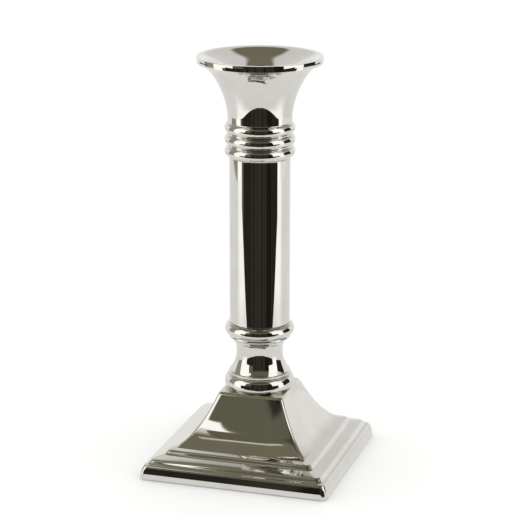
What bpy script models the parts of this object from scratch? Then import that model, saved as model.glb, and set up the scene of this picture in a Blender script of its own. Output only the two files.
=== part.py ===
"""Square-based column candlestick: turned and cast sections clamped on one tie rod.

Metres, +Z up. The origin is the middle of the felt's underside, on the stick's axis.
The square base has its sides along X and Y.
"""
import math

import bmesh
import bpy

MM = 0.001
FACETS = 36                  # flats round each turned section
FIT_GAP = 0.3 * MM           # air between two sections that seat on each other

# Square base
BASE_SIDE = 93.0 * MM
BASE_TOP_Z = 37.4 * MM
TOP_SIDE = 32.6 * MM
BASE_WALL = 2.0 * MM
BASE_LIFT = 0.5 * MM         # the shell's lower edge stands clear of the table
PLINTH_TOP_Z = 7.0 * MM
PLINTH_LEAN = 2.2 * MM       # how far the plinth's rounded top leans in
PLINTH_ROUND = 5.6 * MM      # height of that rounding
LOWER_STEP_SIDE = 87.4 * MM  # side at the foot of the lower riser
UPPER_STEP_SIDE = 74.6 * MM  # side at the foot of the upper riser
RISER_RUN = 2.2 * MM         # width over which a riser climbs
TREAD_SLOPE = 0.28           # rise over run of the treads between the risers
SWEEP_FOOT_SIDE = 66.0 * MM
SWEEP_FOOT_Z = 13.1 * MM
CORNER_ROUND = 2.2 * MM
RIDGE_ROUND = 1.0 * MM

# What closes and loads the base
FELT_THICK = 1.2 * MM
BOARD_THICK = 2.0 * MM
BALLAST_WELL_R = 9.6 * MM

# Tie rod and its fasteners
ROD_R = 3.0 * MM
ROD_GAP = 0.35 * MM          # radial room round the rod in every section
ROD_TAIL = 1.8 * MM          # length standing out below the nut
NUT_FLATS = 10.0 * MM
NUT_THICK = 5.0 * MM
LOCK_WASHER_R = 5.2 * MM
LOCK_WASHER_THICK = 1.6 * MM
PLATE_WASHER_R = 8.4 * MM
PLATE_WASHER_THICK = 1.4 * MM
ROD_CHAMFER = 0.5 * MM

# Collar that sits on the base
COLLAR_SEAT_R = 15.6 * MM
COLLAR_CREST_R = 17.0 * MM
COLLAR_CREST_Z = 39.7 * MM
COLLAR_SWELL = 2.6 * MM      # how far the crest stands out from its own arc's centre
COLLAR_TOP_Z = 44.4 * MM

# Knop between the collar and the column's foot ring
KNOP_BAND_R = 15.0 * MM
KNOP_BAND_TALL = 1.3 * MM
KNOP_WAIST_R = 11.24 * MM
KNOP_WAIST_Z = 55.4 * MM
KNOP_FLARE_R = 14.5 * MM
KNOP_TOP_R = 12.7 * MM
KNOP_TOP_Z = 61.9 * MM
KNOP_LIP_TALL = 0.9 * MM

# Foot ring under the column
RING_CREST_R = 16.8 * MM
RING_CREST_Z = 67.2 * MM
RING_HALF_TALL = 3.4 * MM
BEAD_CREST_R = 14.9 * MM
BEAD_HALF_TALL = 0.95 * MM

# Column
COLUMN_R = 14.55 * MM
COLUMN_WALL = 1.3 * MM
COLUMN_LENGTH = 80.9 * MM
PLUG_DEPTH = 9.0 * MM
PLUG_GAP = 0.25 * MM         # radial room of a plug in the column's bore
PLUG_CHAMFER = 0.8 * MM

# Reeded collar
REED_COUNT = 3
REED_HALF_TALL = 2.82 * MM
REED_CREST_R = 16.85 * MM
REED_WAIST_R = 15.3 * MM     # depth of the grooves between two reeds
REED_FLOOR = 3.0 * MM

# Trumpet bell and the candle socket that lies in it
BELL_NECK_R = 15.45 * MM
BELL_WALL = 1.2 * MM
BELL_SET_BACK = 0.4 * MM     # the bell's mouth stops this far inside the rim's edge
BELL_TALL = 27.3 * MM        # from the reeded collar to the underside of the rim
BELL_NECK_TALL = 2.7 * MM    # straight neck before the flare
BELL_POWER = 1.58            # roundness of the trumpet's sweep
RIM_R = 29.9 * MM
RIM_TALL = 3.1 * MM
RIM_ROUND = 0.5 * MM
RIM_SHEET = 1.2 * MM         # thickness of the socket's own sheet under the rim
CANDLE_HOLE_R = 11.8 * MM
CANDLE_DEPTH = 22.0 * MM     # straight wall from the throat to the cup's floor
CUP_WALL = 1.1 * MM
CUP_FLOOR = 1.6 * MM
DISH_SLOPE = 22.0            # degrees; the pan falls at this slope from the lip to the hole
RIM_LAND = 0.5 * MM          # flat ring on top of the rim, outside the pan
RIM_WIDE = 2.4 * MM          # thickness of the rim's edge, measured inwards
THROAT_ROUND = 1.5 * MM      # rounding where the pan turns down into the candle hole
CUP_ROOM = 0.4 * MM          # radial room round the cup in the bell and the reeded collar
BOSS_R = 12.0 * MM
BOSS_CAP = 2.0 * MM          # solid metal above the rod's hole
BOSS_LIFT = 2.0 * MM         # from the reeded collar's floor to the boss

# Levels that follow from the sizes above
ROD_HOLE_R = ROD_R + ROD_GAP
KNOP_BOTTOM_Z = COLLAR_TOP_Z + FIT_GAP
RING_BOTTOM_Z = KNOP_TOP_Z + FIT_GAP
RING_TOP_Z = RING_CREST_Z + RING_HALF_TALL
COLUMN_BOTTOM_Z = RING_TOP_Z + FIT_GAP
COLUMN_TOP_Z = COLUMN_BOTTOM_Z + COLUMN_LENGTH
COLUMN_BORE_R = COLUMN_R - COLUMN_WALL
REED_BOTTOM_Z = COLUMN_TOP_Z + FIT_GAP
REED_TOP_Z = REED_BOTTOM_Z + 2 * REED_COUNT * REED_HALF_TALL
BELL_BOTTOM_Z = REED_TOP_Z + FIT_GAP
BELL_TOP_Z = BELL_BOTTOM_Z + BELL_TALL
RIM_BOTTOM_Z = BELL_TOP_Z + FIT_GAP
RIM_TOP_Z = RIM_BOTTOM_Z + RIM_TALL
PAN_R = RIM_R - RIM_ROUND - RIM_LAND
PAN_FOOT_R = CANDLE_HOLE_R + THROAT_ROUND * (1 - math.sin(math.radians(DISH_SLOPE)))
PAN_FOOT_Z = RIM_TOP_Z - (PAN_R - PAN_FOOT_R) * math.tan(math.radians(DISH_SLOPE))
THROAT_Z = PAN_FOOT_Z - THROAT_ROUND * math.cos(math.radians(DISH_SLOPE))
SEAT_Z = THROAT_Z - CANDLE_DEPTH
CUP_BORE_R = CANDLE_HOLE_R + CUP_WALL + CUP_ROOM
BOSS_TOP_Z = SEAT_Z - CUP_FLOOR - FIT_GAP
BOSS_BOTTOM_Z = REED_BOTTOM_Z + REED_FLOOR + BOSS_LIFT
ROD_TOP_Z = BOSS_TOP_Z - BOSS_CAP - FIT_GAP
WASHER_TOP_Z = BASE_TOP_Z - BASE_WALL - FIT_GAP
LOCK_WASHER_TOP_Z = WASHER_TOP_Z - PLATE_WASHER_THICK - FIT_GAP
NUT_TOP_Z = LOCK_WASHER_TOP_Z - LOCK_WASHER_THICK - FIT_GAP
NUT_BOTTOM_Z = NUT_TOP_Z - NUT_THICK
ROD_BOTTOM_Z = NUT_BOTTOM_Z - ROD_TAIL
BOARD_BOTTOM_Z = FELT_THICK + FIT_GAP
BOARD_TOP_Z = BOARD_BOTTOM_Z + BOARD_THICK


def clear_scene():
    for thing in list(bpy.data.objects):
        bpy.data.objects.remove(thing, do_unlink=True)


def material(name, colour, metallic, roughness):
    mat = bpy.data.materials.get(name) or bpy.data.materials.new(name)
    mat.use_nodes = True
    shader = mat.node_tree.nodes["Principled BSDF"]
    shader.inputs["Base Color"].default_value = (*colour, 1.0)
    shader.inputs["Metallic"].default_value = metallic
    shader.inputs["Roughness"].default_value = roughness
    mat.diffuse_color = (*colour, 1.0)
    return mat


def nickel():
    return material("polished_nickel", (0.80, 0.78, 0.73), 1.0, 0.06)


def steel():
    return material("zinc_plated_steel", (0.56, 0.57, 0.58), 1.0, 0.35)


def brass():
    return material("turned_brass", (0.72, 0.56, 0.30), 1.0, 0.3)


def cast_iron():
    return material("cast_iron", (0.12, 0.12, 0.12), 0.6, 0.7)


def board():
    return material("pressed_board", (0.28, 0.20, 0.13), 0.0, 0.9)


def felt():
    return material("black_felt", (0.03, 0.03, 0.03), 0.0, 1.0)


def place(mesh_maker, name, mat):
    """Link a finished bmesh as a named object with its material, shaded smooth."""
    mesh = bpy.data.meshes.new(name)
    bmesh.ops.recalc_face_normals(mesh_maker, faces=mesh_maker.faces)
    mesh_maker.to_mesh(mesh)
    mesh_maker.free()
    mesh.materials.append(mat)
    mesh.shade_smooth()
    mesh.set_sharp_from_angle(angle=math.radians(35))
    thing = bpy.data.objects.new(name, mesh)
    bpy.context.scene.collection.objects.link(thing)
    return thing


def turned(name, outline, mat):
    """Spin a closed (radius, z) outline about Z. Points at radius 0 become one point."""
    bm = bmesh.new()
    ring = [bm.verts.new((radius, 0.0, z)) for radius, z in outline]
    edges = [bm.edges.new((a, b)) for a, b in zip(ring, ring[1:] + ring[:1])
             if a.co.x + b.co.x > 0.0]
    bmesh.ops.spin(bm, geom=ring + edges, axis=(0, 0, 1), cent=(0, 0, 0),
                   angle=math.tau, steps=FACETS, use_merge=True)
    bmesh.ops.remove_doubles(bm, verts=bm.verts, dist=0.001 * MM)
    return place(bm, name, mat)


def arc(centre_r, centre_z, size_r, size_z, start, stop, steps):
    """Points on an ellipse's arc; angles in degrees, 0 outwards and 90 up."""
    points = []
    for step in range(steps + 1):
        angle = math.radians(start + (stop - start) * step / steps)
        points.append((centre_r + size_r * math.cos(angle), centre_z + size_z * math.sin(angle)))
    return points


def trumpet(neck_r, neck_z, mouth_r, mouth_z, power, steps):
    """Sweep from a vertical neck to a level mouth, bottom first: a superellipse's quarter."""
    points = []
    for step in range(steps + 1):
        share = math.sin(0.5 * math.pi * step / steps) ** (2 / power)
        reach = max(0.0, 1.0 - share ** power) ** (1 / power)
        points.append((mouth_r - (mouth_r - neck_r) * reach, neck_z + (mouth_z - neck_z) * share))
    return points


def rod_hole(bottom_z, top_z):
    """The two outline points that close a section round its rod hole, top first."""
    return [(ROD_HOLE_R, top_z), (ROD_HOLE_R, bottom_z)]


def rounded_square(half, corner, z, arc_steps=3, side_steps=3):
    """Points round a square with rounded corners, starting on +X and going anticlockwise."""
    points = []
    flat = half - corner
    for quarter in range(4):
        turn = 0.5 * math.pi * quarter
        local = [(half, flat * step / side_steps) for step in range(side_steps)]
        local += [(flat + corner * math.cos(a), flat + corner * math.sin(a))
                  for a in (0.5 * math.pi * step / arc_steps for step in range(arc_steps + 1))]
        local += [(flat * (side_steps - step) / side_steps, half)
                  for step in range(1, side_steps)]
        for x, y in local:
            points.append((x * math.cos(turn) - y * math.sin(turn),
                           x * math.sin(turn) + y * math.cos(turn), z))
    return points


def matching_circle(radius, z, square):
    """A circle with one point on the same bearing as each point of a square ring."""
    return [(radius * math.cos(a), radius * math.sin(a), z)
            for a in (math.atan2(y, x) for x, y, _ in square)]


def lofted(name, rings, mat):
    """Join closed rings with equal counts of points, the last one back to the first."""
    bm = bmesh.new()
    rows = [[bm.verts.new(point) for point in ring] for ring in rings]
    for lower, upper in zip(rows, rows[1:] + rows[:1]):
        count = len(lower)
        for index in range(count):
            after = (index + 1) % count
            bm.faces.new((lower[index], lower[after], upper[after], upper[index]))
    return place(bm, name, mat)


def slab(name, half, corner, bottom_z, top_z, mat):
    """A flat plate with rounded corners."""
    bm = bmesh.new()
    outline = [bm.verts.new(point) for point in rounded_square(half, corner, bottom_z)]
    face = bm.faces.new(outline)
    grown = bmesh.ops.extrude_face_region(bm, geom=[face])
    for vert in grown["geom"]:
        if isinstance(vert, bmesh.types.BMVert):
            vert.co.z = top_z
    return place(bm, name, mat)


def sweep_outline(steps):
    """Concave rise from the upper step to the top face: a cubic curve in (half side, z)."""
    foot = (0.5 * SWEEP_FOOT_SIDE, SWEEP_FOOT_Z)
    head = (0.5 * TOP_SIDE, BASE_TOP_Z - RIDGE_ROUND)
    reach = foot[0] - head[0]
    rise = head[1] - foot[1]
    low_pull = (foot[0] - 0.36 * reach, foot[1] + 0.10 * rise)
    high_pull = (head[0] + 0.27 * reach, head[1] - 0.46 * rise)
    points = []
    for step in range(steps + 1):
        t = step / steps
        weights = ((1 - t) ** 3, 3 * t * (1 - t) ** 2, 3 * t * t * (1 - t), t ** 3)
        points.append(tuple(sum(w * p[axis] for w, p in zip(weights, (foot, low_pull, high_pull, head)))
                            for axis in range(2)))
    return points


def soft_riser(half, side):
    """Share of a riser climbed at a half side: 3t^2 - 2t^3 over the riser's run."""
    t = max(0.0, min(1.0, (0.5 * side - half) / RISER_RUN))
    return t * t * (3 - 2 * t)


def step_z(half, start):
    """Height of the two soft steps: sloping treads, and two equal risers for the rest."""
    treads = TREAD_SLOPE * (start - half)
    total = SWEEP_FOOT_Z - PLINTH_TOP_Z - TREAD_SLOPE * (start - 0.5 * SWEEP_FOOT_SIDE)
    risers = soft_riser(half, LOWER_STEP_SIDE) + soft_riser(half, UPPER_STEP_SIDE)
    return PLINTH_TOP_Z + treads + 0.5 * total * risers


def base_outline():
    """(half side, z) of the base's outside, from its lower edge to its top face."""
    edge = 0.5 * BASE_SIDE
    start = edge - PLINTH_LEAN
    points = [(edge, BASE_LIFT)]
    points += arc(start, PLINTH_TOP_Z - PLINTH_ROUND, PLINTH_LEAN, PLINTH_ROUND, 0, 90, 5)
    for side in (LOWER_STEP_SIDE, UPPER_STEP_SIDE):
        for share in (0.0, 0.25, 0.5, 0.75, 1.0):
            half = 0.5 * side - RISER_RUN * share
            points.append((half, step_z(half, start)))
    points += sweep_outline(8)
    points.append((0.5 * TOP_SIDE - RIDGE_ROUND, BASE_TOP_Z))
    return points


def cavity_outline(inset):
    """(half side, z) inside the base, a wall in from the plinth, the steps and the sweep."""
    points = [(0.5 * BASE_SIDE - inset, BASE_LIFT),
              (0.5 * BASE_SIDE - inset, PLINTH_TOP_Z - inset),
              (0.5 * UPPER_STEP_SIDE, PLINTH_TOP_Z - inset + 0.5 * MM)]
    sweep = sweep_outline(5)
    for index in range(len(sweep)):
        before = sweep[max(index - 1, 0)]
        after = sweep[min(index + 1, len(sweep) - 1)]
        along = (after[0] - before[0], after[1] - before[1])
        length = math.hypot(*along)
        x = sweep[index][0] - inset * along[1] / length
        z = sweep[index][1] + inset * along[0] / length
        if z < BASE_TOP_Z - inset - 1.0 * MM:
            points.append((x, z))
    points.append((0.5 * TOP_SIDE - 1.15 * inset, BASE_TOP_Z - inset))
    return points


def corner_of(half):
    """Corner rounding at a given half side: the plinth's at the foot, the ridge's at the top."""
    share = (half - 0.5 * TOP_SIDE) / (0.5 * (BASE_SIDE - TOP_SIDE))
    return RIDGE_ROUND + (CORNER_ROUND - RIDGE_ROUND) * max(0.0, min(1.0, share))


def make_base_shell():
    outside = [rounded_square(half, corner_of(half), z) for half, z in base_outline()]
    inside = [rounded_square(half, corner_of(half), z) for half, z in cavity_outline(BASE_WALL)]
    holes = [matching_circle(ROD_HOLE_R, BASE_TOP_Z, outside[-1]),
             matching_circle(ROD_HOLE_R, BASE_TOP_Z - BASE_WALL, inside[-1])]
    lofted("base_shell", outside + holes + inside[::-1], nickel())


def make_ballast():
    inset = BASE_WALL + FIT_GAP
    low = BOARD_TOP_Z + FIT_GAP
    ceiling = NUT_BOTTOM_Z
    shape = [(half, max(z, low)) for half, z in cavity_outline(inset)]
    shape = [shape[0]] + [point for point in shape[1:] if low < point[1] < ceiling]
    outside = [rounded_square(half, corner_of(half), z) for half, z in shape]
    well = [matching_circle(BALLAST_WELL_R, shape[-1][1], outside[-1]),
            matching_circle(BALLAST_WELL_R, shape[0][1], outside[0])]
    lofted("ballast_block", outside + well, cast_iron())


def make_base_cover():
    half = 0.5 * BASE_SIDE - BASE_WALL - FIT_GAP
    slab("cover_board", half, CORNER_ROUND, BOARD_BOTTOM_Z, BOARD_TOP_Z, board())
    slab("felt_pad", half, CORNER_ROUND, 0.0, FELT_THICK, felt())


def make_fasteners():
    turned("plate_washer", [(ROD_HOLE_R, WASHER_TOP_Z - PLATE_WASHER_THICK),
                            (PLATE_WASHER_R, WASHER_TOP_Z - PLATE_WASHER_THICK),
                            (PLATE_WASHER_R, WASHER_TOP_Z),
                            (ROD_HOLE_R, WASHER_TOP_Z)], steel())
    turned("lock_washer", [(ROD_HOLE_R, LOCK_WASHER_TOP_Z - LOCK_WASHER_THICK),
                           (LOCK_WASHER_R, LOCK_WASHER_TOP_Z - LOCK_WASHER_THICK),
                           (LOCK_WASHER_R, LOCK_WASHER_TOP_Z),
                           (ROD_HOLE_R, LOCK_WASHER_TOP_Z)], steel())
    make_nut()
    rod = [(0.0, ROD_BOTTOM_Z), (ROD_R - ROD_CHAMFER, ROD_BOTTOM_Z),
           (ROD_R, ROD_BOTTOM_Z + ROD_CHAMFER), (ROD_R, ROD_TOP_Z - ROD_CHAMFER),
           (ROD_R - ROD_CHAMFER, ROD_TOP_Z), (0.0, ROD_TOP_Z)]
    turned("tie_rod", rod, steel())


def make_nut():
    """Hexagonal nut: six flats outside, a round hole with a point on each bearing inside."""
    per_side = 4
    corners = [(NUT_FLATS / math.sqrt(3) * math.cos(math.tau * k / 6),
                NUT_FLATS / math.sqrt(3) * math.sin(math.tau * k / 6)) for k in range(6)]
    outside = []
    for start, stop in zip(corners, corners[1:] + corners[:1]):
        for step in range(per_side):
            share = step / per_side
            outside.append((start[0] + (stop[0] - start[0]) * share,
                            start[1] + (stop[1] - start[1]) * share, NUT_BOTTOM_Z))
    raised = [(x, y, NUT_TOP_Z) for x, y, _ in outside]
    lofted("hex_nut", [outside, raised, matching_circle(ROD_HOLE_R, NUT_TOP_Z, raised),
                       matching_circle(ROD_HOLE_R, NUT_BOTTOM_Z, outside)], steel())


def make_base_collar():
    bottom = BASE_TOP_Z + FIT_GAP
    outline = [(COLLAR_SEAT_R, bottom)]
    outline += arc(COLLAR_CREST_R - COLLAR_SWELL, COLLAR_CREST_Z, COLLAR_SWELL,
                   COLLAR_CREST_Z - bottom, -50, 0, 3)
    outline += arc(COLLAR_CREST_R - COLLAR_SWELL, COLLAR_CREST_Z, COLLAR_SWELL,
                   COLLAR_TOP_Z - COLLAR_CREST_Z, 0, 90, 6)[1:]
    turned("base_collar", outline + rod_hole(bottom, COLLAR_TOP_Z), nickel())


def make_knop():
    band_top = KNOP_BOTTOM_Z + KNOP_BAND_TALL
    drop = KNOP_WAIST_Z - band_top
    swell = KNOP_FLARE_R - KNOP_WAIST_R
    flare_round = 0.5 * (drop ** 2 + swell ** 2) / swell
    reach = math.degrees(math.asin(drop / flare_round))
    outline = [(KNOP_BAND_R - 0.4 * MM, KNOP_BOTTOM_Z), (KNOP_BAND_R, KNOP_BOTTOM_Z + 0.4 * MM),
               (KNOP_BAND_R, band_top - 0.3 * MM)]
    outline += arc(KNOP_WAIST_R + flare_round, KNOP_WAIST_Z, flare_round, flare_round,
                   180 + reach, 180, 7)
    lip = KNOP_TOP_Z - KNOP_LIP_TALL
    outline += arc(KNOP_TOP_R, KNOP_WAIST_Z, KNOP_TOP_R - KNOP_WAIST_R, lip - KNOP_WAIST_Z,
                   180, 100, 5)[1:]
    outline += [(KNOP_TOP_R, lip), (KNOP_TOP_R, KNOP_TOP_Z)]
    turned("knop", outline + rod_hole(KNOP_BOTTOM_Z, KNOP_TOP_Z), nickel())


def make_column_ring():
    bead_z = RING_BOTTOM_Z + BEAD_HALF_TALL + 0.3 * MM
    outline = [(KNOP_TOP_R + 0.4 * MM, RING_BOTTOM_Z)]
    outline += arc(BEAD_CREST_R - BEAD_HALF_TALL, bead_z, BEAD_HALF_TALL, BEAD_HALF_TALL, -80, 60, 4)
    outline += arc(RING_CREST_R - RING_HALF_TALL, RING_CREST_Z, RING_HALF_TALL, RING_HALF_TALL,
                   -48, 70, 7)
    outline.append((RING_CREST_R - RING_HALF_TALL, RING_TOP_Z))
    turned("column_ring", outline + rod_hole(RING_BOTTOM_Z, RING_TOP_Z), nickel())


def make_column():
    turned("column_tube", [(COLUMN_BORE_R, COLUMN_BOTTOM_Z), (COLUMN_R, COLUMN_BOTTOM_Z),
                           (COLUMN_R, COLUMN_TOP_Z), (COLUMN_BORE_R, COLUMN_TOP_Z)], nickel())
    plug_r = COLUMN_BORE_R - PLUG_GAP
    for name, seat, inward in (("lower_plug", COLUMN_BOTTOM_Z, 1), ("upper_plug", COLUMN_TOP_Z, -1)):
        outline = [(ROD_HOLE_R, seat), (plug_r, seat),
                   (plug_r, seat + inward * (PLUG_DEPTH - PLUG_CHAMFER)),
                   (plug_r - PLUG_CHAMFER, seat + inward * PLUG_DEPTH),
                   (ROD_HOLE_R, seat + inward * PLUG_DEPTH)]
        turned(name, outline, steel())


def make_reeded_collar():
    """A stack of half-round reeds; each arc stops where it meets the groove's depth."""
    sink = math.degrees(math.acos((REED_WAIST_R - REED_CREST_R + REED_HALF_TALL) / REED_HALF_TALL))
    outline = [(REED_WAIST_R - 0.7 * MM, REED_BOTTOM_Z)]
    for reed in range(REED_COUNT):
        middle = REED_BOTTOM_Z + (2 * reed + 1) * REED_HALF_TALL
        outline += arc(REED_CREST_R - REED_HALF_TALL, middle, REED_HALF_TALL, REED_HALF_TALL,
                       -sink, sink, 6)
    outline += [(REED_WAIST_R - 0.1 * MM, REED_TOP_Z), (CUP_BORE_R, REED_TOP_Z),
                (CUP_BORE_R, REED_BOTTOM_Z + REED_FLOOR)]
    outline += rod_hole(REED_BOTTOM_Z, REED_BOTTOM_Z + REED_FLOOR)
    turned("reeded_collar", outline, nickel())


def make_bell():
    """Spun trumpet on a short straight neck, with a floor ring that sits on the reeded collar."""
    flare_z = BELL_BOTTOM_Z + BELL_NECK_TALL
    mouth_r = RIM_R - BELL_SET_BACK
    outside = [(BELL_NECK_R, BELL_BOTTOM_Z)]
    outside += trumpet(BELL_NECK_R, flare_z, mouth_r, BELL_TOP_Z, BELL_POWER, 14)
    inside = trumpet(BELL_NECK_R - BELL_WALL, flare_z, mouth_r, BELL_TOP_Z + BELL_WALL,
                     BELL_POWER, 14)
    inside = [point for point in inside if point[1] < BELL_TOP_Z - 0.15 * MM]
    outline = [(CUP_BORE_R, BELL_BOTTOM_Z)] + outside
    outline += [(inside[-1][0] + 0.3 * MM, BELL_TOP_Z)] + inside[::-1]
    outline.append((CUP_BORE_R, BELL_BOTTOM_Z + BELL_WALL))
    turned("socket_bell", outline, nickel())


def pan_underside_z(radius):
    """Height of the pan's underside: its own sheet below the conical top face."""
    slope = math.radians(DISH_SLOPE)
    return RIM_TOP_Z - (PAN_R - radius) * math.tan(slope) - RIM_SHEET / math.cos(slope)


def make_candle_socket():
    """Rim, conical pan and candle cup in one spinning, open at the top."""
    cup_r = CANDLE_HOLE_R + CUP_WALL
    rim_inner_r = RIM_R - RIM_WIDE
    outline = [(0.0, SEAT_Z), (CANDLE_HOLE_R, SEAT_Z)]
    outline += arc(CANDLE_HOLE_R + THROAT_ROUND, THROAT_Z, THROAT_ROUND, THROAT_ROUND,
                   180, 90 + DISH_SLOPE, 4)
    outline.append((PAN_R, RIM_TOP_Z))
    outline += arc(RIM_R - RIM_ROUND, RIM_TOP_Z - RIM_ROUND, RIM_ROUND, RIM_ROUND, 90, 0, 2)
    outline += arc(RIM_R - RIM_ROUND, RIM_BOTTOM_Z + RIM_ROUND, RIM_ROUND, RIM_ROUND, 0, -90, 2)
    outline += [(rim_inner_r, RIM_BOTTOM_Z), (rim_inner_r, pan_underside_z(rim_inner_r)),
                (cup_r, pan_underside_z(cup_r)), (cup_r, SEAT_Z - CUP_FLOOR),
                (0.0, SEAT_Z - CUP_FLOOR)]
    turned("candle_socket", outline, nickel())


def make_cup_boss():
    """Boss under the cup's floor, bored from below for the tie rod's upper end."""
    outline = [(0.0, BOSS_TOP_Z), (BOSS_R, BOSS_TOP_Z), (BOSS_R, BOSS_BOTTOM_Z),
               (ROD_HOLE_R, BOSS_BOTTOM_Z), (ROD_HOLE_R, ROD_TOP_Z + FIT_GAP),
               (0.0, ROD_TOP_Z + FIT_GAP)]
    turned("cup_boss", outline, brass())


clear_scene()
make_base_cover()
make_ballast()
make_base_shell()
make_fasteners()
make_base_collar()
make_knop()
make_column_ring()
make_column()
make_reeded_collar()
make_bell()
make_candle_socket()
make_cup_boss()
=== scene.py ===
import math

import bpy
import numpy as np
from mathutils import Matrix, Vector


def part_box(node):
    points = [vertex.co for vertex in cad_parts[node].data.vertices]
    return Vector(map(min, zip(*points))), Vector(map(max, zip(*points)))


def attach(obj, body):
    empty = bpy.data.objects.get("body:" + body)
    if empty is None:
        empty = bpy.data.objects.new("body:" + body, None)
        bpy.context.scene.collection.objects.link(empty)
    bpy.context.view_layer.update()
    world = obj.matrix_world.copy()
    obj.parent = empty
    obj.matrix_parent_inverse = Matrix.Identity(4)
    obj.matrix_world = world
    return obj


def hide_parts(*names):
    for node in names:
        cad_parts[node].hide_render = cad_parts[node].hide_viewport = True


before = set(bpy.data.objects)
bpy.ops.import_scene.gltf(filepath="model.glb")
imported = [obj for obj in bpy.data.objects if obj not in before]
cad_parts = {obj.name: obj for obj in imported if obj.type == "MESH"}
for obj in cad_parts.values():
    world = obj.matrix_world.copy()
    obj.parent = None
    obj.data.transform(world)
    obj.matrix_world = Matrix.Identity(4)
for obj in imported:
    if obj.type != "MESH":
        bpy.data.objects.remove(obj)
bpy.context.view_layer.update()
print("frame loaded:", len(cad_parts), "nodes")

mm = 0.001
seam = 0.02      # mm of shadow left between two sections that are clamped together


def ease(distance, width):
    # Soft step 3t^2 - 2t^3, from 0 at no distance to 1 at the full width.
    t = np.clip(distance / width, 0, 1)
    return t * t * (3 - 2 * t)


def arc(centre, size, start, stop, count):
    # Ellipse: centre plus size times the cosine and sine of an angle that runs from start to stop.
    angle = np.radians(np.linspace(start, stop, count))
    return np.stack([centre[0] + size[0] * np.cos(angle), centre[1] + size[1] * np.sin(angle)], 1)


def bezier(points, count):
    # Cubic curve: four points weighted by (1-t)^3, 3t(1-t)^2, 3t^2(1-t) and t^3.
    t = np.linspace(0, 1, count)[:, None]
    a, b, c, d = (np.array(p, float) for p in points)
    return (1 - t) ** 3 * a + 3 * t * (1 - t) ** 2 * b + 3 * t * t * (1 - t) * c + t ** 3 * d


def trumpet(neck, mouth, power, count):
    # Superellipse quarter from an upright neck to a level mouth: reach^power + share^power = 1.
    angle = np.linspace(0, 0.5 * np.pi, count)
    share = np.sin(angle) ** (2 / power)
    reach = np.cos(angle) ** (2 / power)
    return np.stack([mouth[0] - (mouth[0] - neck[0]) * reach,
                     neck[1] + (mouth[1] - neck[1]) * share], 1)


cornerShare = 0.45      # the most of one side that a softened corner takes


def softened(outline, radius, steps=4):
    # Each corner becomes a short quadratic curve that leaves and meets its two sides on their own
    # line, and takes at most cornerShare of either. Returns the points and their directions.
    here = np.concatenate([np.atleast_2d(np.array(part, float)) for part in outline])
    keep = np.linalg.norm(here - np.roll(here, 1, 0), axis=1) > 1e-6      # repeated points go
    here = here[keep]
    before = here - np.roll(here, 1, 0)
    after = np.roll(here, -1, 0) - here
    beforeLong = np.linalg.norm(before, axis=1, keepdims=True)
    afterLong = np.linalg.norm(after, axis=1, keepdims=True)
    radius = np.full((len(here), 1), float(radius))
    start = here - before / beforeLong * np.minimum(radius, cornerShare * beforeLong)
    stop = here + after / afterLong * np.minimum(radius, cornerShare * afterLong)
    t = np.linspace(0, 1, steps)[None, :, None]
    start, stop, here = start[:, None, :], stop[:, None, :], here[:, None, :]
    points = (1 - t) ** 2 * start + 2 * t * (1 - t) * here + t * t * stop
    ways = 2 * (1 - t) * (here - start) + 2 * t * (stop - here)
    ways = ways / np.linalg.norm(ways, axis=2, keepdims=True)
    return points.reshape(-1, 2), ways.reshape(-1, 2)


def addPiece(name, grid, normals, finish, stands, poles=False):
    # A grid of points, rows by columns, becomes one smooth mesh on the root body. Its columns close
    # round; its rows close on themselves, or with poles each end row is one point on the axis.
    rows, columns = grid.shape[:2]
    mesh = bpy.data.meshes.new(name)
    index = np.arange(rows * columns).reshape(rows, columns)
    low, high = index, np.roll(index, -1, 0)
    points, normals = (grid * mm).reshape(-1, 3), normals.reshape(-1, 3)
    if poles:
        low, high = index[1:-2] - index[1, 0], index[2:-1] - index[1, 0]
        ends = [points[0], points[-1]]
        tips = [normals[0], normals[-1]]
        points = np.concatenate([points[columns:-columns], ends])
        normals = np.concatenate([normals[columns:-columns], tips])
    faces = np.stack([low, np.roll(low, -1, 1), np.roll(high, -1, 1), high], 2).reshape(-1, 4).tolist()
    if poles:
        first, last = low[0], high[-1]
        faces += np.stack([first * 0 + len(points) - 2, np.roll(first, -1), first], 1).tolist()
        faces += np.stack([last * 0 + len(points) - 1, last, np.roll(last, -1)], 1).tolist()
    mesh.from_pydata(points, [], faces)
    mesh.shade_smooth()
    mesh.normals_split_custom_set_from_vertices(normals)
    mesh.materials.append(finish)
    piece = bpy.data.objects.new(name, mesh)
    bpy.context.scene.collection.objects.link(piece)
    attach(piece, "root")
    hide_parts(stands)


def turned(name, outline, finish, stands, radius=0.15, around=192, steps=4, closed=True):
    # Surface of revolution: each outline point (r, z) goes to (r cos a, r sin a, z). An outline that
    # isn't closed runs from the axis to the axis.
    points, ways = softened(outline, radius, steps)
    if not closed:
        points, ways = points[steps - 1:-steps + 1], ways[steps - 1:-steps + 1]
        points[0, 0] = points[-1, 0] = 0
        ways[0], ways[-1] = (1, 0), (-1, 0)
    angle = np.linspace(0, 2 * np.pi, around, endpoint=False)
    c, s = np.cos(angle)[None, :], np.sin(angle)[None, :]
    r, z = points[:, :1], points[:, 1:]
    grid = np.stack([r * c, r * s, z + 0 * c], 2)
    out, up = ways[:, 1:], -ways[:, :1]
    normals = np.stack([out * c, out * s, up + 0 * c], 2)
    addPiece(name, grid, normals, finish, stands, poles=not closed)


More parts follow.
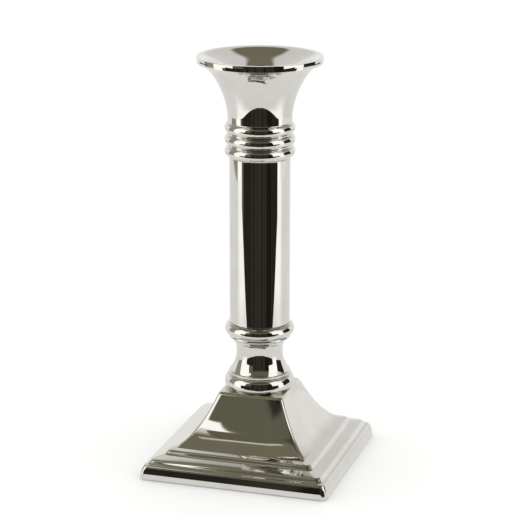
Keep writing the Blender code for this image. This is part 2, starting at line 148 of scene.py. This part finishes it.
def squareRing(half, corner, bow, sidePoints, cornerPoints):
    # One row of points for each half side. A side runs as (half + bow (1 - t^4), flat t) for t from -1
    # to 1, a corner as flat + corner (cos a, sin a). Returns the places and the way along the ring.
    half, corner, bow = half[:, None], corner[:, None], bow[:, None]
    t = np.linspace(-1, 1, sidePoints, endpoint=False)[None]
    a = np.linspace(0, 0.5 * np.pi, cornerPoints, endpoint=False)[None]
    flat = half - corner
    tilt = np.arctan2(4 * bow, flat)
    b = tilt + a * (1 - 4 * tilt / np.pi)
    side = np.stack([half + bow * (1 - t ** 4), flat * t], 2)
    sideWay = np.stack([-4 * bow * t ** 3, flat + 0 * t], 2)
    nose = np.stack([flat + corner * np.cos(a), flat + corner * np.sin(a)], 2)
    noseWay = np.stack([-np.sin(b), np.cos(b)], 2)
    quarter, way = np.concatenate([side, nose], 1), np.concatenate([sideWay, noseWay], 1)
    turns = [np.array([[math.cos(q), math.sin(q)], [-math.sin(q), math.cos(q)]])
             for q in 0.5 * np.pi * np.arange(4)]
    return (np.concatenate([quarter @ turn for turn in turns], 1),
            np.concatenate([way @ turn for turn in turns], 1))


def squared(name, outline, corner, bow, roundUnder, finish, stands,
            radius=0.2, sidePoints=48, cornerPoints=14, steps=4):
    # Loft of rounded squares: each outline point (half side, z) is a square ring with its own corner
    # radius and bow. Rings with a half side below roundUnder are circles, for the rod hole.
    points, ways = softened(outline, radius, steps)
    half, z = points[:, 0], points[:, 1]

    def ring(value):
        xy, way = squareRing(value, corner(value), bow(value), sidePoints, cornerPoints)
        bearing = xy / np.linalg.norm(xy, axis=2, keepdims=True)
        circle = value[:, None, None] * bearing
        isRound = (half < roundUnder)[:, None, None]
        wayRound = np.stack([-bearing[..., 1], bearing[..., 0]], 2)
        return np.where(isRound, circle, xy), np.where(isRound, wayRound, way)

    nudge = 1e-3
    xy, way = ring(half)
    rise = (ring(half + nudge)[0] - ring(half - nudge)[0]) / (2 * nudge) * ways[:, :1, None]
    level = np.ones(xy.shape[:2] + (1,))
    grid = np.concatenate([xy, z[:, None, None] * level], 2)
    up = np.concatenate([rise, ways[:, 1][:, None, None] * level], 2)
    normals = np.cross(np.concatenate([way, 0 * level], 2), up)
    normals /= np.linalg.norm(normals, axis=2, keepdims=True)
    addPiece(name, grid, normals, finish, stands)


def linear(hexText):
    # sRGB hex to linear: c/12.92 below 0.04045, else ((c + 0.055) / 1.055)^2.4.
    parts = [int(hexText[i:i + 2], 16) / 255 for i in (1, 3, 5)]
    return tuple(c / 12.92 if c <= 0.04045 else ((c + 0.055) / 1.055) ** 2.4 for c in parts) + (1.0,)


def addNode(tree, kind, settings=None, links=None):
    # Settings are node properties or input values by name; links are input name: output socket.
    node = tree.nodes.new(kind)
    for key, value in (settings or {}).items():
        if key in node.inputs:
            node.inputs[key].default_value = value
        else:
            setattr(node, key, value)
    for key, socket in (links or {}).items():
        tree.links.new(socket, node.inputs[key])
    return node


def newMaterial(name):
    material = bpy.data.materials.new(name)
    material.use_nodes = True
    tree = material.node_tree
    tree.nodes.clear()
    return material, tree


def ramp(tree, source, stops):
    node = addNode(tree, "ShaderNodeValToRGB", None, {"Fac": source})
    band = node.color_ramp
    while len(band.elements) < len(stops):
        band.elements.new(0.5)
    for element, (place, colour) in zip(band.elements, stops):
        element.position, element.color = place, colour
    return node.outputs["Color"]


nickel = {
    "light": "#DCDAD5",        # clean plate
    "dull": "#D6D3CB",         # where the cloth reached less
    "roughClean": 0.02,
    "roughDull": 0.05,
    "cloudSize": 14.0,         # mm across a patch of dulling
    "tintBand": (0.35, 0.7),   # share of the clouds between clean and dull, for colour
    "roughBand": (0.35, 0.75),                # and for roughness
    "swirlSize": 0.35,         # mm between polishing swirls, coarser than real ones so that they show
    "swirlBend": 1.5,
    "bump": 0.015,
    "deep": 0.02,              # mm
}


def polishedNickel():
    # Nickel plate on brass, buffed to a mirror: a faintly warm grey mirror with soft cloudy dulling
    # and hair-fine buffing swirls.
    material, tree = newMaterial("buffedNickelPlate")
    place = addNode(tree, "ShaderNodeTexCoord").outputs["Object"]
    cloud = addNode(tree, "ShaderNodeTexNoise",
                    {"Scale": 1 / (nickel["cloudSize"] * mm), "Detail": 3.0}, {"Vector": place})
    swirl = addNode(tree, "ShaderNodeTexNoise",
                    {"Scale": 1 / (nickel["swirlSize"] * mm), "Detail": 2.0,
                     "Distortion": nickel["swirlBend"]},
                    {"Vector": place})
    clean, dull = nickel["tintBand"]
    tint = ramp(tree, cloud.outputs["Fac"],
                [(clean, linear(nickel["light"])), (dull, linear(nickel["dull"]))])
    rough = addNode(tree, "ShaderNodeMapRange",
                    {"From Min": nickel["roughBand"][0], "From Max": nickel["roughBand"][1],
                     "To Min": nickel["roughClean"], "To Max": nickel["roughDull"]},
                    {"Value": cloud.outputs["Fac"]})
    bump = addNode(tree, "ShaderNodeBump", {"Strength": nickel["bump"], "Distance": nickel["deep"] * mm},
                   {"Height": swirl.outputs["Fac"]})
    shader = addNode(tree, "ShaderNodeBsdfPrincipled", {"Metallic": 1.0},
                     {"Base Color": tint, "Roughness": rough.outputs["Result"],
                      "Normal": bump.outputs["Normal"]})
    addNode(tree, "ShaderNodeOutputMaterial", None, {"Surface": shader.outputs["BSDF"]})
    return material


def noise(tree, place, size, detail=2.0, stretch=(1, 1, 1)):
    # Noise whose patches are about size mm across, drawn out where stretch is below 1.
    spread = addNode(tree, "ShaderNodeMapping", {"Scale": stretch}, {"Vector": place})
    return addNode(tree, "ShaderNodeTexNoise", {"Scale": 1 / (size * mm), "Detail": detail},
                   {"Vector": spread.outputs["Vector"]}).outputs["Fac"]


patchBand, grainBand = (0.35, 0.65), (0.3, 0.7)      # share of each noise that the change runs over


def plainFinish(name, look):
    # Colour between two tones and roughness between two values by one noise, bump by another.
    material, tree = newMaterial(name)
    place = addNode(tree, "ShaderNodeTexCoord").outputs["Object"]
    patch = noise(tree, place, look["patch"], 3.0)
    grain = noise(tree, place, look["grain"], 2.0, look.get("stretch", (1, 1, 1)))
    colour = ramp(tree, patch, list(zip(patchBand, (linear(look["dark"]), linear(look["light"])))))
    rough = addNode(tree, "ShaderNodeMapRange",
                    {"From Min": grainBand[0], "From Max": grainBand[1],
                     "To Min": look["rough"][0], "To Max": look["rough"][1]},
                    {"Value": grain})
    bump = addNode(tree, "ShaderNodeBump", {"Strength": look["bump"], "Distance": look["deep"] * mm},
                   {"Height": grain})
    shader = addNode(tree, "ShaderNodeBsdfPrincipled", {"Metallic": look["metal"]},
                     {"Base Color": colour, "Roughness": rough.outputs["Result"],
                      "Normal": bump.outputs["Normal"]})
    for key in ("IOR", "Sheen Weight", "Sheen Roughness"):
        if key in look:
            shader.inputs[key].default_value = look[key]
    addNode(tree, "ShaderNodeOutputMaterial", None, {"Surface": shader.outputs["BSDF"]})
    return material


# Steel, machined and then zinc plated: a cool dull metal with a faint cloudy passivation.
zinc = {"dark": "#9FA4A8", "light": "#BFC3C6", "patch": 3.5, "grain": 0.25, "stretch": (1, 1, 0.3),
        "rough": (0.28, 0.42), "bump": 0.15, "deep": 0.02, "metal": 1.0}
# Brass as it leaves the lathe: warm yellow metal with fine rings left by the tool, so the grain is
# short along the axis and long round it.
brass = {"dark": "#B0904F", "light": "#CDB070", "patch": 6.0, "grain": 0.9, "stretch": (0.15, 0.15, 4.0),
         "rough": (0.2, 0.36), "bump": 0.3, "deep": 0.03, "metal": 1.0}
# Grey iron, sand cast and left raw: dark, matt, with the sand's grain printed all over.
iron = {"dark": "#2F2D2B", "light": "#4B4845", "patch": 5.0, "grain": 0.7,
        "rough": (0.62, 0.82), "bump": 0.6, "deep": 0.25, "metal": 0.6}
# Fibre board, pressed wet: brown, matt and flecked along the sheet.
fibre = {"dark": "#5E4028", "light": "#8A6644", "patch": 1.6, "grain": 0.5, "stretch": (0.35, 1, 3),
         "rough": (0.8, 0.95), "bump": 0.35, "deep": 0.1, "metal": 0.0, "IOR": 1.5}
# Wool felt, pressed and dyed black: no gloss, a soft sheen at the edge and a tangled nap.
wool = {"dark": "#171615", "light": "#2C2A28", "patch": 0.9, "grain": 0.4,
        "rough": (0.9, 1.0), "bump": 0.8, "deep": 0.25, "metal": 0.0, "IOR": 1.5,
        "Sheen Weight": 0.4, "Sheen Roughness": 0.5}

nickelPlate = polishedNickel()
hidden = {
    "machinedZincPlatedSteel": (zinc, ["tie_rod", "hex_nut", "lock_washer", "plate_washer",
                                       "lower_plug", "upper_plug"]),
    "turnedBrass": (brass, ["cup_boss"]),
    "sandCastIron": (iron, ["ballast_block"]),
    "pressedFibreBoard": (fibre, ["cover_board"]),
    "pressedWoolFelt": (wool, ["felt_pad"]),
}
for name, (look, nodes) in hidden.items():
    finish = plainFinish(name, look)
    for node in nodes:
        bpy.data.objects[node].material_slots[0].material = finish
print("materials made")


def levels(node):
    low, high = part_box(node)
    return low.z / mm, high.z / mm


def reach(node):
    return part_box(node)[1].x / mm


rodRoom = 0.35                # mm of air round the tie rod in every section
rodHole = reach("tie_rod") + rodRoom
holeMargin = 0.5              # rings this little wider than the hole are round like the hole


base = {
    "wall": 2.0, "wallSlant": 1.15,             # walls, and how much wider a wall is on the slope
    "innerRound": 1.0, "innerRise": 0.5,        # inside: the gap under the top, the step's lift
    "plinthTop": 7.0,
    "plinthLean": 2.2, "plinthDraft": 0.27,      # inward lean at the plinth's top, its steady share
    "lowerStep": 43.7, "upperStep": 37.3,        # half side at the foot of each riser
    "riserRun": 2.2, "treadSlope": 0.28,
    "sweepFoot": (33.0, 13.1), "footPull": (0.36, 0.10), "headPull": (0.27, 0.46),
    "topHalf": 16.3, "ridgeRound": 1.0, "cornerTop": 1.3, "cornerFoot": 2.4,
    "bow": 0.5, "bowEnds": (39.5, 45.0),        # the swept faces swell in the middle, the plinth doesn't
}


def sweepCurve(inset, count):
    top = levels("base_shell")[1]
    foot = np.array(base["sweepFoot"])
    head = np.array([base["topHalf"], top - base["ridgeRound"]])
    size = np.array([foot[0] - head[0], head[1] - foot[1]])
    low = foot + np.array([-base["footPull"][0], base["footPull"][1]]) * size
    high = head + np.array([base["headPull"][0], -base["headPull"][1]]) * size
    curve = bezier((foot, low, high, head), count)
    way = np.gradient(curve, axis=0)
    way /= np.linalg.norm(way, axis=1, keepdims=True)
    return curve + inset * np.stack([-way[:, 1], way[:, 0]], 1)


def stepCurve(start, count):
    # Two soft steps: a tread that falls steadily outwards, plus two risers, each a soft step of its own.
    foot, level = base["sweepFoot"]
    half = np.linspace(start, foot, count)
    treads = base["treadSlope"] * (start - half)
    rise = 0.5 * (level - base["plinthTop"] - base["treadSlope"] * (start - foot))
    risers = sum(ease(base[step] - half, base["riserRun"]) for step in ("lowerStep", "upperStep"))
    return np.stack([half, base["plinthTop"] + treads + rise * risers], 1)


def plinthCurve(edge, bottom, count):
    # The plinth's edge leans in by a steady share of its height plus a share of a quarter ellipse.
    share = np.linspace(0, 1, count)
    lean = base["plinthDraft"] * share + (1 - base["plinthDraft"]) * (1 - np.sqrt(1 - share ** 2))
    return np.stack([edge - base["plinthLean"] * lean, bottom + (base["plinthTop"] - bottom) * share], 1)


def makeBase():
    bottom, top = levels("base_shell")
    edge, wall = reach("base_shell"), base["wall"]
    outside = [
        plinthCurve(edge, bottom, 40),
        stepCurve(edge - base["plinthLean"], 64)[1:-1],
        sweepCurve(0.0, 40),
        [(base["topHalf"] - base["ridgeRound"], top), (rodHole, top)],
    ]
    inner = sweepCurve(wall, 14)
    inner = inner[inner[:, 1] < top - wall - base["innerRound"]]
    inside = [
        [(rodHole, top - wall), (base["topHalf"] - base["wallSlant"] * wall, top - wall)],
        inner[::-1],
        [(base["upperStep"], base["plinthTop"] - wall + base["innerRise"]),
         (edge - wall, base["plinthTop"] - wall), (edge - wall, bottom)],
    ]

    def corner(half):
        share = np.clip((half - base["topHalf"]) / (edge - base["topHalf"]), 0, 1)
        return base["cornerTop"] + (base["cornerFoot"] - base["cornerTop"]) * share

    def bow(half):
        start, stop = base["bowEnds"]
        return base["bow"] * (1 - ease(half - start, stop - start))

    squared("baseShell", outside + inside, corner, bow, rodHole + holeMargin,
            nickelPlate, "base_shell")


collar = {"seat": 15.6, "crestZ": 39.7, "swell": 2.6}


def makeCollar():
    bottom, top = levels("base_shell")[1] + seam, levels("base_collar")[1]
    crest = reach("base_collar")
    middle = (crest - collar["swell"], collar["crestZ"])
    turned("baseCollar", [
        [(collar["seat"], bottom)],
        arc(middle, (collar["swell"], collar["crestZ"] - bottom), -50, 0, 10),
        arc(middle, (collar["swell"], top - collar["crestZ"]), 0, 90, 16),
        [(rodHole, top), (rodHole, bottom)],
    ], nickelPlate, "base_collar")


knop = {"bandTall": 1.3, "bandRound": (0.4, 0.3),            # the band's chamfer below and above
        "waist": (11.24, 55.4), "flare": 14.5, "top": 12.7, "lip": 0.9}


def makeKnop():
    bottom, top = levels("base_collar")[1] + seam, levels("knop")[1]
    band, bandTop = reach("knop"), levels("knop")[0] + knop["bandTall"]
    waist = knop["waist"]
    drop, swell = waist[1] - bandTop, knop["flare"] - waist[0]
    flareRound = 0.5 * (drop ** 2 + swell ** 2) / swell
    turning = math.degrees(math.asin(drop / flareRound))
    lip = top - knop["lip"]
    low, high = knop["bandRound"]
    turned("columnKnop", [
        [(band - low, bottom), (band, bottom + low), (band, bandTop - high)],
        arc((waist[0] + flareRound, waist[1]), (flareRound, flareRound), 180 + turning, 180, 24),
        arc((knop["top"], waist[1]), (knop["top"] - waist[0], lip - waist[1]), 180, 100, 16)[1:],
        [(knop["top"], lip), (knop["top"], top), (rodHole, top), (rodHole, bottom)],
    ], nickelPlate, "knop")


footRing = {"crestZ": 67.2, "halfTall": 3.4, "bead": 14.9, "beadHalf": 0.95, "beadRaise": 0.3,
            "throat": 13.1}


def makeColumnRing():
    bottom, top = levels("knop")[1] + seam, levels("column_ring")[1]
    crest, half = reach("column_ring"), footRing["halfTall"]
    beadZ = levels("column_ring")[0] + footRing["beadHalf"] + footRing["beadRaise"]
    turned("columnRing", [
        [(footRing["throat"], bottom)],
        arc((footRing["bead"] - footRing["beadHalf"], beadZ), (footRing["beadHalf"],) * 2, -80, 60, 12),
        arc((crest - half, footRing["crestZ"]), (half, half), -48, 70, 24),
        [(crest - half, top), (rodHole, top), (rodHole, bottom)],
    ], nickelPlate, "column_ring", radius=0.08)


tube = {"wall": 1.3}


def makeColumn():
    bottom, top = levels("column_ring")[1] + seam, levels("column_tube")[1]
    outer = reach("column_tube")
    turned("columnTube", [
        [(outer, bottom), (outer, top), (outer - tube["wall"], top), (outer - tube["wall"], bottom)],
    ], nickelPlate, "column_tube")


reeds = {"count": 3, "halfTall": 2.82, "waist": 15.3, "footIn": 0.7, "headIn": 0.1,
         "floor": 3.0, "bore": 13.3}


def makeReeds():
    bottom, top = levels("reeded_collar")
    crest, half = reach("reeded_collar"), reeds["halfTall"]
    sink = math.degrees(math.acos((reeds["waist"] - crest + half) / half))
    start, floor = levels("column_tube")[1] + seam, bottom + reeds["floor"]
    outline = [[(reeds["waist"] - reeds["footIn"], start)]]
    for reed in range(reeds["count"]):
        outline.append(arc((crest - half, bottom + (2 * reed + 1) * half), (half, half), -sink, sink, 20))
    outline.append([(reeds["waist"] - reeds["headIn"], top), (reeds["bore"], top),
                    (reeds["bore"], floor), (rodHole, floor), (rodHole, start)])
    turned("reededCollar", outline, nickelPlate, "reeded_collar", radius=0.12)


bell = {"neck": 15.45, "neckTall": 2.7, "wall": 1.2, "power": 1.58, "bore": 13.3,
        "edge": 0.3}          # the mouth's inner edge is cut back this much


def makeBell():
    bottom = levels("reeded_collar")[1] + seam
    top = levels("candle_socket")[1] - socket["rimTall"] - seam
    mouth = reach("socket_bell")
    start = bottom + bell["neckTall"]
    outside = trumpet((bell["neck"], start), (mouth, top), bell["power"], 72)
    inside = trumpet((bell["neck"] - bell["wall"], start),
                     (mouth, top + bell["wall"]), bell["power"], 40)
    inside = inside[inside[:, 1] < top - bell["edge"]]
    turned("socketBell", [
        [(bell["bore"], bottom), (bell["neck"], bottom)], outside,
        [(inside[-1, 0] + bell["edge"], top)], inside[::-1],
        [(bell["bore"], bottom + bell["wall"])],
    ], nickelPlate, "socket_bell", radius=0.1)


socket = {
    "rimTall": 3.1, "rimRound": 0.3, "barrel": 0.07,      # the rim's edge swells this much in the middle
    "rimWide": 2.4, "panEdge": 28.9, "hole": 11.8, "throatRound": 1.5, "depth": 22.0,
    "slope": 22.0,                                  # degrees, from the lip to the throat
    "lip": 3.6, "waver": 1.9, "waverCrest": 25.3, "waverLong": 16.0,   # slow waver of that slope
    "cupWall": 1.1, "sheet": 1.2, "floor": 1.6,
}


def panCurve(edge, edgeZ, foot, footZ, count):
    # The fall is the sum of its slope: nothing at the lip, then a mean slope with a slow cosine waver.
    radius = np.linspace(edge, foot, count)
    turn = 2 * np.pi * (radius - socket["waverCrest"]) / socket["waverLong"]
    slope = np.tan(np.radians(socket["slope"] + socket["waver"] * np.cos(turn)))
    slope = slope * ease(edge - radius, socket["lip"])
    fall = np.concatenate([[0], np.cumsum(0.5 * (slope[1:] + slope[:-1]))])
    return np.stack([radius, edgeZ - (edgeZ - footZ) * fall / fall[-1]], 1)


def makeSocket():
    bottom, top = levels("candle_socket")
    rim, rimRound, tall = reach("candle_socket"), socket["rimRound"], socket["rimTall"]
    slope = math.radians(socket["slope"])
    pan, curl = socket["panEdge"], socket["throatRound"]
    footR = socket["hole"] + curl * (1 - math.sin(slope))
    footZ = top - (pan - footR) * math.tan(slope)
    throat = footZ - curl * math.cos(slope)
    seat = throat - socket["depth"]
    rimBottom = top - tall
    half = 0.5 * tall - rimRound
    swell = 0.5 * half ** 2 / socket["barrel"]
    lean = math.degrees(math.asin(half / swell))

    def under(radius):
        return top - (pan - radius) * math.tan(slope) - socket["sheet"] / math.cos(slope)

    cup = socket["hole"] + socket["cupWall"]
    inner = rim - socket["rimWide"]
    nose = rim - socket["barrel"] - rimRound
    turned("candleSocket", [
        [(0, seat - socket["floor"]), (cup, seat - socket["floor"]), (cup, under(cup)),
         (inner, under(inner)), (inner, rimBottom)],
        arc((nose, rimBottom + rimRound), (rimRound, rimRound), -90, -lean, 8),
        arc((rim - swell, top - 0.5 * tall), (swell, swell), -lean, lean, 16)[1:-1],
        arc((nose, top - rimRound), (rimRound, rimRound), lean, 90, 8),
        panCurve(pan, top, footR, footZ, 72),
        arc((socket["hole"] + curl, throat), (curl, curl), 90 + socket["slope"], 180, 14)[1:],
        [(socket["hole"], seat), (0, seat)],
    ], nickelPlate, "candle_socket", radius=0.1, closed=False)


makeBase()
makeCollar()
makeKnop()
makeColumnRing()
makeColumn()
makeReeds()
makeBell()
makeSocket()
print("pieces made")


studio = {
    "turn": 17.04,             # degrees from the stick's own front to the camera
    "room": 8000,
    "sheetWide": 600, "sheetBack": 700,
    "tableFront": 150, "sheetFront": 298, "sheetFall": 0.5,      # the sheet slopes down past the table
    "apronTop": 140, "apronFoot": -200,
    "apronTone": -15.0,                         # height in degrees that the apron is painted like
    "sheetLight": 0.89, "cardLight": 0.41,      # all over, and more of it where the cards light it
    "lightFrom": 150, "lightRun": 150,          # across: where that starts, and the run to its full
    "lightBack": 40, "lightDeep": 120,          # the same, forward from the back
    "roomSteps": (721, 361), "sheetSteps": (241, 333), "apronSteps": 961,
}

camera = {"distance": 906.6, "height": 357.4, "pitch": 15.733, "pan": 0.07, "roll": 0.05,
          "lens": 137.04, "sensor": 36, "clip": (0.05, 30)}       # clip in metres


def tone(hexText, strength):
    return strength * np.array(linear(hexText)[:3])


bars = [(-24, -20), (-9, -7), (6, 10), (17, 18.5), (24, 43)]      # bearings of upright dark gaps in front
white, cream, grey, stone = "#FFFFFF", "#E0DBC8", "#A8A69C", "#9C9A8E"
umber, olive, moss, dim, black = "#7C7866", "#6A6958", "#4E4C40", "#3A3932", "#2A2823"
around, down, up = 400, -200, 200      # past the ends of every bearing and height


def card(bearing, height, light, edge, drop=0.0):
    # Bearing in degrees from the camera to the right, height in degrees, light, the width of the soft
    # edge in degrees, and how many degrees the top edge falls for each degree of bearing.
    return {"bearing": bearing, "height": height, "light": light, "edge": edge, "drop": drop}


# What the metal sees, painted in this order.
cards = [
    card((-around, around), (down, up), tone(white, 0.98), 1),           # white tent
    card((-around, around), (18, up), tone(white, 0.8), 14),             # its shaded upper part
    card((-200, -163), (down, -1), tone(white, 1.0), 6),                 # light from low behind
    card((163, 200), (down, -1), tone(white, 1.0), 6),
    card((-150, -100), (27, 60), tone(grey, 1.0), 7),                    # shade at both sides
    card((100, 150), (27, 60), tone(grey, 1.0), 7),
    card((-around, around), (51.2, up), tone(umber, 1.0), 5),            # ceiling
    card((-118, -92), (-13, 52), tone(stone, 1.0), 2.5),                 # gap behind the left card
    card((84, 117), (-9.6, 27), tone(black, 1.0), 2),                    # gap behind the right card
    card((108, 140), (-9.6, -7.4), tone(black, 1.0), 1),                 # table's far edge
    card((-140, -108), (-9.6, -7.4), tone(dim, 1.0), 1),
    card((-50, 43), (down, 56), tone(olive, 1.0), 1.5),                  # room in front
    card((-72, 70), (down, -9), tone(black, 1.0), 1.5),                  # the dark floor there
    card((-50, 43), (down, -5), tone(black, 1.0), 2),
    card((-72, -58), (-14, -8), tone(olive, 1.0), 2),                    # left card's foot in shade
    card((-31, 43), (down, 34), tone(dim, 0.9), 5),                      # darker middle with its bars
    *[card(bar, (-40, 30), tone(black, 0.6), 1.5) for bar in bars],
    card((-34, 43), (52, up), tone(moss, 1.0), 5),                       # dark above the front
    card((-91, -50), (-8, 50), tone(white, 1.4), 1.5, 0.22),             # left card
    card((-52, -42), (39, 46.5), tone(white, 1.4), 1.2),                 # its corner
    card((-91, -72), (down, 0), tone(white, 1.4), 1.5),                  # its foot
    card((-60, -40), (56.5, 58.8), tone(cream, 0.95), 1),                # its rail
    card((43, 84), (-8.7, 56), tone(white, 1.4), 1.5, -0.15),            # right card
    card((70, 84), (down, 0), tone(white, 1.4), 1.5),                    # its foot
]


def paint(azimuth, elevation):
    # Each card covers what is under it, fully inside its edges and by a soft step across them.
    colour = np.zeros(azimuth.shape + (3,))
    for one in cards:
        left, right = one["bearing"]
        low, high = one["height"]
        high = high - one["drop"] * (azimuth - 0.5 * (left + right))
        gap = np.minimum(np.minimum(azimuth - left, right - azimuth),
                         np.minimum(elevation - low, high - elevation))
        cover = ease(gap + 0.5 * one["edge"], one["edge"])[..., None]
        colour = colour * (1 - cover) + one["light"] * cover
    return colour


def stageGrid(name, points, colour, material):
    # Open grid that belongs to the studio, turned to the camera.
    rows, columns = points.shape[:2]
    index = np.arange(rows * columns).reshape(rows, columns)
    quads = np.stack([index[:-1, :-1], index[:-1, 1:], index[1:, 1:], index[1:, :-1]], 2).reshape(-1, 4)
    mesh = bpy.data.meshes.new(name)
    mesh.from_pydata((points * mm).reshape(-1, 3), [], quads)
    if colour is not None:
        light = np.concatenate([colour.reshape(-1, 3), np.ones((rows * columns, 1))], 1)
        mesh.attributes.new("light", "FLOAT_COLOR", "POINT").data.foreach_set(
            "color", light.astype(np.float32).ravel())
    mesh.materials.append(material)
    thing = bpy.data.objects.new(name, mesh)
    thing.matrix_world = Matrix.Rotation(math.radians(studio["turn"]), 4, "Z")
    bpy.context.scene.collection.objects.link(thing)
    return thing


def litCard():
    # Even light whose colour comes from the grid's own points.
    material, tree = newMaterial("litStudioCard")
    light = addNode(tree, "ShaderNodeAttribute", {"attribute_name": "light"})
    glow = addNode(tree, "ShaderNodeEmission", {"Strength": 1.0}, {"Color": light.outputs["Color"]})
    addNode(tree, "ShaderNodeOutputMaterial", None, {"Surface": glow.outputs[0]})
    return material


def reflectedOnly(thing):
    # The metal sees it and nothing else does.
    thing.visible_camera = thing.visible_diffuse = thing.visible_shadow = False


def makeRoom():
    # Sphere round the stick: a bearing and a height give x, y, z as on a globe.
    azimuth, elevation = np.meshgrid(np.linspace(-180, 180, studio["roomSteps"][0]),
                                     np.linspace(-89.9, 89.9, studio["roomSteps"][1]))
    a, e = np.radians(azimuth), np.radians(elevation)
    points = studio["room"] * np.stack([np.sin(a) * np.cos(e), -np.cos(a) * np.cos(e), np.sin(e)], 2)
    reflectedOnly(stageGrid("studioRoom", points, paint(azimuth, elevation), litCard()))


def makeSheet():
    # White sheet under the stick: level on the table, then falling steadily from its front edge. It is
    # brighter in front at both sides, where the cards light it.
    x, share = np.meshgrid(np.linspace(-studio["sheetWide"], studio["sheetWide"], studio["sheetSteps"][0]),
                           np.linspace(0, 1, studio["sheetSteps"][1]))
    y = -studio["sheetFront"] + (studio["sheetBack"] + studio["sheetFront"]) * share
    z = -studio["sheetFall"] * np.maximum(-y - studio["tableFront"], 0)
    beside = ease(np.abs(x) - studio["lightFrom"], studio["lightRun"])
    ahead = ease(studio["lightBack"] - y, studio["lightDeep"])
    level = studio["sheetLight"] + studio["cardLight"] * beside * ahead
    points, colour = np.stack([x, y, z], 2), level[..., None] * np.ones(3)
    reflectedOnly(stageGrid("studioSheet", points, colour, litCard()))


def makeApron():
    # A low dark screen across the sheet's front end, painted like the room just below eye level.
    x, z = np.meshgrid(np.linspace(-studio["sheetWide"], studio["sheetWide"], studio["apronSteps"]),
                       np.array([studio["apronFoot"], studio["apronTop"]]))
    points = np.stack([x, 0 * x - studio["sheetFront"], z], 2)
    bearing = np.degrees(np.arctan2(x, studio["sheetFront"]))
    colour = paint(bearing, np.full(x.shape, studio["apronTone"]))
    reflectedOnly(stageGrid("studioApron", points, colour, litCard()))


floorLook = {"colour": "#F9F9F8", "size": 6000, "under": 0.3, "light": 1.12}


def makeFloor():
    scene = bpy.context.scene
    world = bpy.data.worlds.new("softDaylight")
    world.use_nodes = True
    tree = world.node_tree
    tree.nodes.clear()
    back = addNode(tree, "ShaderNodeBackground", {"Color": (1, 1, 1, 1), "Strength": floorLook["light"]})
    addNode(tree, "ShaderNodeOutputWorld", None, {"Surface": back.outputs[0]})
    world.cycles_visibility.glossy = False
    scene.world = world
    scene.view_settings.view_transform = "Standard"
    material, tree = newMaterial("mattWhiteBoard")
    shader = addNode(tree, "ShaderNodeBsdfDiffuse", {"Color": linear(floorLook["colour"])})
    addNode(tree, "ShaderNodeOutputMaterial", None, {"Surface": shader.outputs[0]})
    x, y = np.meshgrid(np.linspace(-1, 1, 3), np.linspace(-1, 1, 3))
    points = np.stack([floorLook["size"] * x, floorLook["size"] * y, 0 * x - floorLook["under"]], 2)
    floor = stageGrid("floor", points, None, material)
    floor.visible_glossy = False


def makeCamera():
    data = bpy.data.cameras.new("camera")
    data.lens, data.sensor_width = camera["lens"], camera["sensor"]
    data.clip_start, data.clip_end = camera["clip"]
    thing = bpy.data.objects.new("camera", data)
    turn = Matrix.Rotation(math.radians(studio["turn"]), 4, "Z")
    place = Matrix.Translation((0, -camera["distance"] * mm, camera["height"] * mm))
    aim = (Matrix.Rotation(math.radians(camera["pan"]), 4, "Z")
           @ Matrix.Rotation(math.radians(90 - camera["pitch"]), 4, "X")
           @ Matrix.Rotation(math.radians(camera["roll"]), 4, "Z"))
    thing.matrix_world = turn @ place @ aim
    bpy.context.scene.collection.objects.link(thing)
    bpy.context.scene.camera = thing


makeRoom()
makeSheet()
makeApron()
makeFloor()
makeCamera()
print("studio made")
